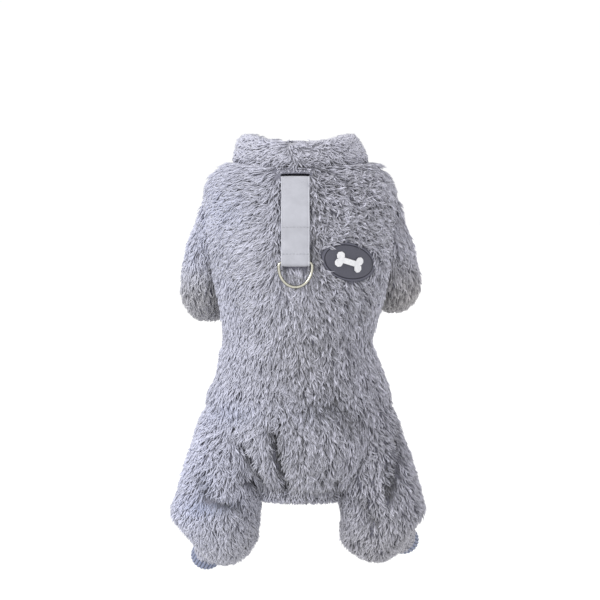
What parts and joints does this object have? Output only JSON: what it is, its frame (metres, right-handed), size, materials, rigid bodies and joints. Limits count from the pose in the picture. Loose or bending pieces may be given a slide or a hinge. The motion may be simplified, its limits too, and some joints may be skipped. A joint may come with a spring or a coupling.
{
  "type": "dog jumpsuit",
  "caption": "Four-legged plush dog suit with a rolled collar, open neck, leg and tail openings, rib cuffs, and a webbing strap with a swinging D-ring on the back",
  "frame": {"origin": "middle of the neck seam, where the dog's neck passes through", "axes": "+Z along the dog's back towards the head, -Y out of the back, -X towards the garment's left as it is seen from behind"},
  "size_m": [0.176, 0.1416, 0.313],
  "materials": {
    "plush": "long-pile grey plush",
    "rib_knit": "blue-grey rib knit",
    "webbing": "pale woven tape",
    "ring_metal": "nickel plated",
    "badge_rubber": "satin moulded rubber",
    "badge_print": "white moulded relief"
  },
  "bodies": {
    "garment": {"torso": "plush", "collar": "plush", "sleeve_left": "plush", "sleeve_right": "plush", "leg_left": "plush", "leg_right": "plush", "hem_band": "plush", "belly_placket": "plush", "cuff_front_left": "rib_knit", "cuff_front_right": "rib_knit", "cuff_hind_left": "rib_knit", "cuff_hind_right": "rib_knit", "lead_strap": "webbing", "badge": "badge_rubber", "badge_bone": "badge_print"},
    "ring": {"lead_ring": "ring_metal"}
  },
  "joints": [
    {"name": "ring_swing", "type": "hinge", "parent": "garment", "child": "ring", "pos_m": [-0.0032, -0.06098, -0.06856], "axis": [-1, 0, 0], "range_deg": [0, 150]}
  ]
}
